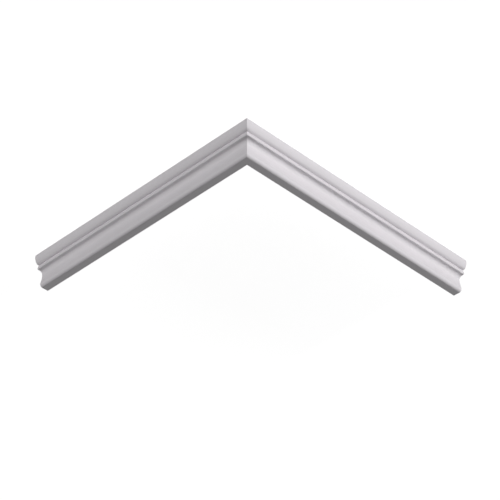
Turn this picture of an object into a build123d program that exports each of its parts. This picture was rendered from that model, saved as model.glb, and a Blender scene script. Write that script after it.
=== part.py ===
from build123d import *
import os
from math import asin, cos, degrees, radians, sin, sqrt, tan

# Outside corner of a white cornice moulding, as it lies on a level floor: upside down on the face that goes
# up to the ceiling. Two straight lengths of one section are cut at the mitre and glued face to face.
#
# Millimetres, +Z up. The origin is the wall's corner at the ceiling. The short length runs along +X and
# the long one along +Y, each with its flat back to the wall. The section is drawn with its projection from
# the wall across and its depth below the ceiling upwards, so depth is height above the floor.

# Lengths of the two backs, from the wall's corner to the sawn ends, and the angle between them.
SHORT_LENGTH = 570.0
LONG_LENGTH = 593.0
CORNER_ANGLE = 90.0

# The whole section, and the small round that takes the sharpness off its edge at the ceiling.
HEIGHT = 70.0
PROJECTION = 38.7
ARRIS_RADIUS = 0.3

# Ovolo, the big round under the ceiling. Its front bulges furthest from the wall at the given depth, and
# underneath it turns in more tightly, past level, into a sharp nick.
OVOLO_BULGE_DEPTH = 6.4
OVOLO_FRONT_RADIUS = 19.1
OVOLO_FRONT_TURN = 38.0
OVOLO_UNDER_RADIUS = 7.4
OVOLO_UNDER_TURN = 61.0

# Fillet, the narrow band under the ovolo. It leans out towards its rounded foot.
FILLET_LENGTH = 8.6
FILLET_LEAN = 20.0
FOOT_RADIUS = 2.2

# Cove, the hollow. Its roof starts as a short, almost level soffit at the foot of the fillet, turns down
# the wall and opens into a wide curve that runs out on the nose.
SOFFIT_SLOPE = 2.0
SOFFIT_LENGTH = 3.6
COVE_ROOF_RADIUS = 8.0
COVE_ROOF_TURN = 88.0

# Nose, the rounded lower edge.
NOSE_SETBACK = 17.7
NOSE_RADIUS = 6.8


def touching_point(start, outward, centre, radius):
    """Where an arc that leaves start, with its own centre straight outward of it, just touches a round."""
    across = start - centre
    arc_radius = (across.dot(across) - radius**2) / (2 * (radius - across.dot(outward)))
    to_arc_centre = start + outward * arc_radius - centre
    return centre + to_arc_centre.normalized() * radius


def section():
    """The moulding's section: ceiling face, ovolo, fillet, cove, nose, underside and back."""
    rise_to_bulge = asin(OVOLO_BULGE_DEPTH / OVOLO_FRONT_RADIUS)
    ovolo_centre = PROJECTION - OVOLO_FRONT_RADIUS
    ceiling_edge = Vector(ovolo_centre + sqrt(OVOLO_FRONT_RADIUS**2 - OVOLO_BULGE_DEPTH**2), 0)
    ovolo_start = (sin(rise_to_bulge), cos(rise_to_bulge))
    ovolo_front_turn = degrees(rise_to_bulge) + OVOLO_FRONT_TURN
    foot_turn = 90 + FILLET_LEAN - SOFFIT_SLOPE
    nose_centre = Vector(PROJECTION - NOSE_SETBACK - NOSE_RADIUS, HEIGHT - NOSE_RADIUS)

    with BuildSketch() as sketch:
        with BuildLine():
            front = JernArc(ceiling_edge, ovolo_start, OVOLO_FRONT_RADIUS, ovolo_front_turn)
            under = JernArc(front @ 1, front % 1, OVOLO_UNDER_RADIUS, OVOLO_UNDER_TURN)
            band = PolarLine(under @ 1, FILLET_LENGTH, 90 - FILLET_LEAN)
            foot = JernArc(band @ 1, band % 1, FOOT_RADIUS, foot_turn)
            soffit = PolarLine(foot @ 1, SOFFIT_LENGTH, direction=foot % 1)
            roof = JernArc(soffit @ 1, soffit % 1, COVE_ROOF_RADIUS, -COVE_ROOF_TURN)
            outward = (roof % 1).rotate(Axis.Z, -90)
            cove_end = touching_point(roof @ 1, outward, nose_centre, NOSE_RADIUS)
            cove = TangentArc(roof @ 1, cove_end, tangent=roof % 1)
            nose = TangentArc(cove @ 1, (nose_centre.X, HEIGHT), tangent=cove % 1)
            Polyline(nose @ 1, (0, HEIGHT), (0, 0), ceiling_edge)
        make_face()
        fillet(sketch.vertices().sort_by_distance(ceiling_edge)[0], ARRIS_RADIUS)
    return sketch.sketch


def mitre_plane():
    """The upright plane through the origin that halves the corner, facing the short length."""
    half = radians(CORNER_ANGLE / 2)
    return Plane(origin=(0, 0, 0), x_dir=(cos(half), sin(half), 0), z_dir=(sin(half), -cos(half), 0))


def mitred_length(length):
    """A straight length along +X with its back on the XZ plane, sawn square at its far end."""
    past_corner = PROJECTION / tan(radians(CORNER_ANGLE / 2))
    square_end = Plane(origin=(length, 0, 0), x_dir=(0, -1, 0), z_dir=(-1, 0, 0))
    stock = extrude(square_end * section(), length + past_corner)
    return split(stock, bisect_by=mitre_plane(), keep=Keep.TOP)


short_length = mitred_length(SHORT_LENGTH)
long_length = mirror(mitred_length(LONG_LENGTH), about=mitre_plane())

os.makedirs("parts", exist_ok=True)
export_step(short_length, "parts/short_length.step")
export_step(long_length, "parts/long_length.step")
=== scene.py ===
from math import asin, atan2, cos, degrees, pi, radians, sin

import bmesh
import bpy
from mathutils import Matrix, Quaternion, Vector


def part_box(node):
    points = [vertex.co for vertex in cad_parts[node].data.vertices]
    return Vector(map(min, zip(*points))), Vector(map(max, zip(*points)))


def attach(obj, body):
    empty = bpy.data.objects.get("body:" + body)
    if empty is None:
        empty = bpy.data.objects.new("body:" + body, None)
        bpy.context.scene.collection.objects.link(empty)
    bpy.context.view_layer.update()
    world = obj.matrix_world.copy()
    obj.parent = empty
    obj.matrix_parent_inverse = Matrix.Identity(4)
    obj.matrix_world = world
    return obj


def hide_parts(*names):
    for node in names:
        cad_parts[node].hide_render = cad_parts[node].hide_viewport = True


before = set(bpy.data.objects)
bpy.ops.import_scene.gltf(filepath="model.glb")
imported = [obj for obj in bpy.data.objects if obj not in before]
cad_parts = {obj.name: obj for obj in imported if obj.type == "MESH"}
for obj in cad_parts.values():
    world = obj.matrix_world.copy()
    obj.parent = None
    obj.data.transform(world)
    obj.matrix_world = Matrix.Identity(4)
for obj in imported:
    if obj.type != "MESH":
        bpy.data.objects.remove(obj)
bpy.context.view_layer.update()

scene = bpy.context.scene
scene.view_settings.view_transform = "Standard"

# Outside corner of a white cornice moulding, lying upside down on the face that goes up to the ceiling.
# Metres, +Z up. The origin is the wall's corner at the ceiling. The short length runs along +X and the
# long one along +Y, and both turn their moulded fronts away from the wall.

MM = 0.001

# The section's members, in millimetres and degrees. Its height and projection come from the frame.
OVOLO_BULGE_DEPTH = 6.4
OVOLO_FRONT_RADIUS = 19.1
OVOLO_FRONT_TURN = 38.0
OVOLO_UNDER_RADIUS = 7.4
OVOLO_UNDER_TURN = 61.0
FILLET_LENGTH = 8.6
FILLET_LEAN = 20.0
FOOT_RADIUS = 2.2
SOFFIT_SLOPE = 2.0
SOFFIT_LENGTH = 3.6
COVE_ROOF_RADIUS = 8.0
COVE_ROOF_TURN = 88.0
NOSE_SETBACK = 17.7
NOSE_RADIUS = 6.8
ARRIS_RADIUS = 0.3

# How finely the mesh follows the section: degrees a step on the curves, steps round the edge at the
# ceiling, the angle from which an edge is sharp, and how near two points count as one, in millimetres.
CURVE_STEP = 2.5
ARRIS_STEPS = 4
SHARP_ANGLE = radians(25)
SAME_POINT = 0.001

# Places of the two finishes in each piece's list of materials.
PRIMED = 0
SAWN = 1

# Patterns in the finishes, in millimetres. At scale 1, a wave texture draws 10 / pi bands a unit.
MOTTLE_SIZE = 70.0
PEEL_SIZE = 3.0
PEEL_DEPTH = 0.03
PORE_SIZE = 1.4
PORE_DEPTH = 0.2
SAW_TRACK_SPACING = 5.0
SAW_TRACK_DEPTH = 0.08
BANDS_PER_UNIT = 10 / pi

# The camera, set by the photograph: it looks down on the corner and is rolled half over. Its lens and its
# sensor are in millimetres.
CAMERA_PLACE = Vector((-2.1045, -2.0982, 2.4921))
CAMERA_AIM = Vector((0.2493, 0.2574, 0.0))
CAMERA_ROLL = pi
CAMERA_LENS = 147.9
CAMERA_SENSOR = 36.0

# Lamps: the direction each one shines from, its strength and its spread in degrees. All are low, because
# the flat underside, which is on top here, is the darkest face in the photograph.
LONG_FRONT_FROM = Vector((-0.992, -0.069, 0.105))
LONG_FRONT_STRENGTH = 2.75
SHORT_FRONT_FROM = Vector((-0.069, -0.992, 0.105))
SHORT_FRONT_STRENGTH = 1.48
FRONT_SPREAD = 8.0
BACK_FROM = Vector((0.706, 0.706, 0.061))
BACK_STRENGTH = 3.1
BACK_SPREAD = 6.0
SKY_STRENGTH = 0.02

# Half the floor's width in metres, and how strongly the camera sees it glow, where 1 is white.
FLOOR_HALF = 6.0
FLOOR_GLOW = 0.945


def linear(hex_colour):
    """An sRGB hex colour as linear RGBA."""
    values = [int(hex_colour[i:i + 2], 16) / 255 for i in (1, 3, 5)]
    return [v / 12.92 if v <= 0.04045 else ((v + 0.055) / 1.055) ** 2.4 for v in values] + [1.0]


def add_node(tree, kind, inputs=(), **settings):
    """Adds a node with its settings. An input that is another node's socket is linked."""
    node = tree.nodes.new(kind)
    for name, value in settings.items():
        setattr(node, name, value)
    for socket, value in dict(inputs).items():
        if isinstance(value, bpy.types.NodeSocket):
            tree.links.new(value, node.inputs[socket])
        else:
            node.inputs[socket].default_value = value
    return node


def per_metre(size_mm):
    """Texture scale on Object coordinates that gives features of this size."""
    return 1 / (size_mm * MM)


def new_material(name):
    """An empty node material and its tree."""
    material = bpy.data.materials.new(name)
    material.use_nodes = True
    material.node_tree.nodes.clear()
    return material, material.node_tree


def primed_polyurethane():
    """Moulded rigid polyurethane, sprayed white with a water-based primer at the factory. The eye gets an
    even, chalky white with a trace of lavender, a very faint orange-peel skin and hardly any shine."""
    material, tree = new_material("primed_polyurethane")
    place = add_node(tree, "ShaderNodeTexCoord").outputs["Object"]
    mottle = add_node(tree, "ShaderNodeTexNoise", {
        "Vector": place,
        "Scale": per_metre(MOTTLE_SIZE),
        "Detail": 3.0,
    })
    colour = add_node(tree, "ShaderNodeMix", {
        "Factor": mottle.outputs["Fac"],
        "A": linear("#DBD8DB"),
        "B": linear("#E0DCE0"),
    }, data_type="RGBA")
    # Real orange peel is about 1.5 mm across, too fine to show here, so it is drawn twice as coarse.
    peel = add_node(tree, "ShaderNodeTexNoise", {
        "Vector": place,
        "Scale": per_metre(PEEL_SIZE),
        "Detail": 2.0,
    })
    skin = add_node(tree, "ShaderNodeBump", {
        "Height": peel.outputs["Fac"],
        "Strength": 0.5,
        "Distance": PEEL_DEPTH * MM,
    })
    sheen = add_node(tree, "ShaderNodeMapRange", {
        "Value": mottle.outputs["Fac"],
        "To Min": 0.72,
        "To Max": 0.82,
    })
    surface = add_node(tree, "ShaderNodeBsdfPrincipled", {
        "Base Color": colour.outputs["Result"],
        "Roughness": sheen.outputs["Result"],
        "Normal": skin.outputs["Normal"],
        "IOR": 1.46,
        "Specular IOR Level": 0.25,
    })
    add_node(tree, "ShaderNodeOutputMaterial", {"Surface": surface.outputs["BSDF"]})
    return material


def sawn_foam():
    """The same polyurethane where the saw went through the skin: bare, creamier than the primer, open-pored
    and dead matt, with the faint parallel tracks of the saw's teeth."""
    material, tree = new_material("sawn_polyurethane_foam")
    place = add_node(tree, "ShaderNodeTexCoord").outputs["Object"]
    # Real pores are 0.2 to 0.5 mm across and real tracks about 1 mm apart, too fine to show here, so both
    # are drawn several times as coarse.
    pores = add_node(tree, "ShaderNodeTexVoronoi", {"Vector": place, "Scale": per_metre(PORE_SIZE)})
    colour = add_node(tree, "ShaderNodeMix", {
        "Factor": pores.outputs["Distance"],
        "A": linear("#DCD7CA"),
        "B": linear("#E9E5DA"),
    }, data_type="RGBA")
    tracks = add_node(tree, "ShaderNodeTexWave", {
        "Vector": place,
        "Scale": per_metre(SAW_TRACK_SPACING) / BANDS_PER_UNIT,
        "Distortion": 1.5,
        "Detail": 1.0,
    }, bands_direction="Z")
    tracked = add_node(tree, "ShaderNodeBump", {
        "Height": tracks.outputs["Fac"],
        "Strength": 0.4,
        "Distance": SAW_TRACK_DEPTH * MM,
    })
    pitted = add_node(tree, "ShaderNodeBump", {
        "Height": pores.outputs["Distance"],
        "Normal": tracked.outputs["Normal"],
        "Strength": 0.6,
        "Distance": PORE_DEPTH * MM,
    })
    surface = add_node(tree, "ShaderNodeBsdfPrincipled", {
        "Base Color": colour.outputs["Result"],
        "Roughness": 0.9,
        "Normal": pitted.outputs["Normal"],
        "IOR": 1.5,
        "Specular IOR Level": 0.15,
    })
    add_node(tree, "ShaderNodeOutputMaterial", {"Surface": surface.outputs["BSDF"]})
    return material


def draw_arc(bm, end, centre, turn):
    """Carries the outline on from its end, turning about a centre, and returns the new end."""
    steps = max(2, round(abs(turn) / CURVE_STEP))
    drawn = bmesh.ops.spin(bm, geom=[end], cent=(-centre.x, 0, centre.y), axis=(0, 1, 0),
                           angle=radians(turn), steps=steps)
    return next(item for item in drawn["geom_last"] if isinstance(item, bmesh.types.BMVert))


def draw_line(bm, end, point):
    """Carries the outline straight on to a point, and returns the new end."""
    drawn = bmesh.ops.extrude_vert_indiv(bm, verts=[end])["verts"][0]
    drawn.co = (-point.x, 0, point.y)
    return drawn


def heading(angle):
    """The unit vector at this angle from the projection towards the depth."""
    return Vector((cos(radians(angle)), sin(radians(angle))))


def touching_point(start, outward, centre, radius):
    """Where an arc that leaves start, with its own centre straight outward of it, just touches a round, and
    that arc's centre."""
    across = start - centre
    arc_radius = (across.dot(across) - radius ** 2) / (2 * (radius - across.dot(outward)))
    arc_centre = start + outward * arc_radius
    return centre + (arc_centre - centre).normalized() * radius, arc_centre


def point_of(vert):
    """A vertex of the outline as projection and depth."""
    return Vector((-vert.co.x, vert.co.z))


def draw_section(bm, height, projection):
    """Draws the section as one face on the XZ plane, in millimetres, with the wall at x = 0 and the moulded
    front towards -x."""
    rise_to_bulge = degrees(asin(OVOLO_BULGE_DEPTH / OVOLO_FRONT_RADIUS))
    ovolo_centre = Vector((projection - OVOLO_FRONT_RADIUS, OVOLO_BULGE_DEPTH))
    ceiling_edge = ovolo_centre + heading(-rise_to_bulge) * OVOLO_FRONT_RADIUS
    nose_centre = Vector((projection - NOSE_SETBACK - NOSE_RADIUS, height - NOSE_RADIUS))

    first = bm.verts.new((-ceiling_edge.x, 0, ceiling_edge.y))
    end = draw_arc(bm, first, ovolo_centre, rise_to_bulge + OVOLO_FRONT_TURN)
    under_centre = point_of(end) - heading(OVOLO_FRONT_TURN) * OVOLO_UNDER_RADIUS
    end = draw_arc(bm, end, under_centre, OVOLO_UNDER_TURN)
    end = draw_line(bm, end, point_of(end) + heading(90 - FILLET_LEAN) * FILLET_LENGTH)
    foot_centre = point_of(end) - heading(-FILLET_LEAN) * FOOT_RADIUS
    end = draw_arc(bm, end, foot_centre, 90 + FILLET_LEAN - SOFFIT_SLOPE)
    end = draw_line(bm, end, point_of(end) + heading(180 - SOFFIT_SLOPE) * SOFFIT_LENGTH)
    roof_centre = point_of(end) + heading(90 - SOFFIT_SLOPE) * COVE_ROOF_RADIUS
    end = draw_arc(bm, end, roof_centre, -COVE_ROOF_TURN)
    roof_end = 90 - SOFFIT_SLOPE - COVE_ROOF_TURN
    touch, cove_centre = touching_point(point_of(end), heading(roof_end), nose_centre, NOSE_RADIUS)
    to_touch = touch - nose_centre
    nose_start = degrees(atan2(to_touch.y, to_touch.x))
    end = draw_arc(bm, end, cove_centre, nose_start - roof_end)
    end = draw_arc(bm, end, nose_centre, 90 - nose_start)
    end = draw_line(bm, end, Vector((0, height)))
    end = draw_line(bm, end, Vector((0, 0)))
    bm.edges.new((end, first))
    bmesh.ops.contextual_create(bm, geom=bm.edges[:])
    bmesh.ops.bevel(bm, geom=[first], affect="VERTICES", offset=ARRIS_RADIUS, segments=ARRIS_STEPS,
                    profile=0.5, material=-1)
    return next(iter(bm.faces))


def mitred_length(name, node, along, materials):
    """One length of the moulding, with its section drawn at the sawn end, carried back past the corner and
    cut off at the mitre. It is made along +Y and swapped over for the length along +X."""
    low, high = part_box(node)
    height = (high.z - low.z) / MM
    projection = -low[1 - along] / MM
    length = high[along] / MM

    bm = bmesh.new()
    sawn_end = draw_section(bm, height, projection)
    bmesh.ops.translate(bm, verts=bm.verts[:], vec=(0, length, 0))
    carried = bmesh.ops.extrude_face_region(bm, geom=[sawn_end], use_keep_orig=True)["geom"]
    moved = [item for item in carried if isinstance(item, bmesh.types.BMVert)]
    bmesh.ops.translate(bm, verts=moved, vec=(0, -length - projection, 0))
    for face in bm.faces:
        face.material_index = PRIMED
    sawn_end.material_index = SAWN
    cut = bmesh.ops.bisect_plane(bm, geom=bm.verts[:] + bm.edges[:] + bm.faces[:], plane_co=(0, 0, 0),
                                 plane_no=(1, -1, 0), clear_outer=True)["geom_cut"]
    mitre_edges = [item for item in cut if isinstance(item, bmesh.types.BMEdge)]
    for face in bmesh.ops.contextual_create(bm, geom=mitre_edges)["faces"]:
        face.material_index = SAWN
    if along == 0:
        swap = Matrix(((0, 1, 0, 0), (1, 0, 0, 0), (0, 0, 1, 0), (0, 0, 0, 1)))
        bmesh.ops.transform(bm, matrix=swap, verts=bm.verts[:])
    bmesh.ops.remove_doubles(bm, verts=bm.verts[:], dist=SAME_POINT)
    bmesh.ops.scale(bm, verts=bm.verts[:], vec=(MM, MM, MM))
    bmesh.ops.recalc_face_normals(bm, faces=bm.faces[:])
    for face in bm.faces:
        face.smooth = True
    for edge in bm.edges:
        edge.smooth = edge.calc_face_angle(0) < SHARP_ANGLE

    mesh = bpy.data.meshes.new(name)
    bm.to_mesh(mesh)
    bm.free()
    piece = bpy.data.objects.new(name, mesh)
    scene.collection.objects.link(piece)
    for material in materials:
        mesh.materials.append(material)
    # The flats stay flat where they run into the rounds.
    flats = piece.modifiers.new("flat_faces", "WEIGHTED_NORMAL")
    flats.keep_sharp = True
    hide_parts(node)
    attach(piece, "root")


def seen_rays(tree):
    """A socket that is 1 for what the camera sees, straight, mirrored or through glass, and else 0."""
    rays = add_node(tree, "ShaderNodeLightPath").outputs
    straight_or_mirrored = add_node(tree, "ShaderNodeMath", {
        0: rays["Is Camera Ray"],
        1: rays["Is Glossy Ray"],
    }, operation="MAXIMUM")
    seen = add_node(tree, "ShaderNodeMath", {
        0: straight_or_mirrored.outputs[0],
        1: rays["Is Transmission Ray"],
    }, operation="MAXIMUM")
    return seen.outputs[0]


def studio_floor():
    """A wide floor, white to the eye: it glows just under white there, and the lamps bring it up to white,
    so that the moulding's shadow still shows. Its own grey throws little light up under the fronts."""
    material, tree = new_material("white_floor")
    glow = add_node(tree, "ShaderNodeMath", {0: seen_rays(tree), 1: FLOOR_GLOW}, operation="MULTIPLY")
    surface = add_node(tree, "ShaderNodeBsdfPrincipled", {
        "Base Color": linear("#B0B0B0"),
        "Roughness": 0.9,
        "Specular IOR Level": 0.0,
        "Emission Color": linear("#FFFFFF"),
        "Emission Strength": glow.outputs[0],
    })
    add_node(tree, "ShaderNodeOutputMaterial", {"Surface": surface.outputs["BSDF"]})

    bm = bmesh.new()
    bmesh.ops.create_grid(bm, x_segments=1, y_segments=1, size=FLOOR_HALF)
    mesh = bpy.data.meshes.new("floor")
    bm.to_mesh(mesh)
    bm.free()
    mesh.materials.append(material)
    floor = bpy.data.objects.new("floor", mesh)
    scene.collection.objects.link(floor)


def sky():
    """White to the camera and in reflections, and a low even light on everything else."""
    world = bpy.data.worlds.new("studio")
    world.use_nodes = True
    tree = world.node_tree
    tree.nodes.clear()
    strength = add_node(tree, "ShaderNodeMapRange", {
        "Value": seen_rays(tree),
        "To Min": SKY_STRENGTH,
        "To Max": 1.0,
    })
    white = add_node(tree, "ShaderNodeBackground", {
        "Color": linear("#FFFFFF"),
        "Strength": strength.outputs["Result"],
    })
    add_node(tree, "ShaderNodeOutputWorld", {"Surface": white.outputs["Background"]})
    scene.world = world


def lamp(name, shines_from, strength, spread):
    """A broad, even lamp far away, shining at the corner from the given direction."""
    data = bpy.data.lights.new(name, "SUN")
    data.energy = strength
    data.angle = radians(spread)
    light = bpy.data.objects.new(name, data)
    light.rotation_euler = shines_from.to_track_quat("Z", "Y").to_euler()
    light.location = shines_from
    scene.collection.objects.link(light)


def camera():
    """The photograph's camera."""
    data = bpy.data.cameras.new("camera")
    data.lens = CAMERA_LENS
    data.sensor_width = CAMERA_SENSOR
    eye = bpy.data.objects.new("camera", data)
    eye.location = CAMERA_PLACE
    upright = (CAMERA_AIM - CAMERA_PLACE).to_track_quat("-Z", "Y")
    eye.rotation_euler = (upright @ Quaternion((0, 0, 1), CAMERA_ROLL)).to_euler()
    scene.collection.objects.link(eye)
    scene.camera = eye


finishes = [primed_polyurethane(), sawn_foam()]
mitred_length("short_moulding", "short_length", 0, finishes)
mitred_length("long_moulding", "long_length", 1, finishes)
studio_floor()
sky()
lamp("long_front", LONG_FRONT_FROM, LONG_FRONT_STRENGTH, FRONT_SPREAD)
lamp("short_front", SHORT_FRONT_FROM, SHORT_FRONT_STRENGTH, FRONT_SPREAD)
lamp("backs", BACK_FROM, BACK_STRENGTH, BACK_SPREAD)
camera()
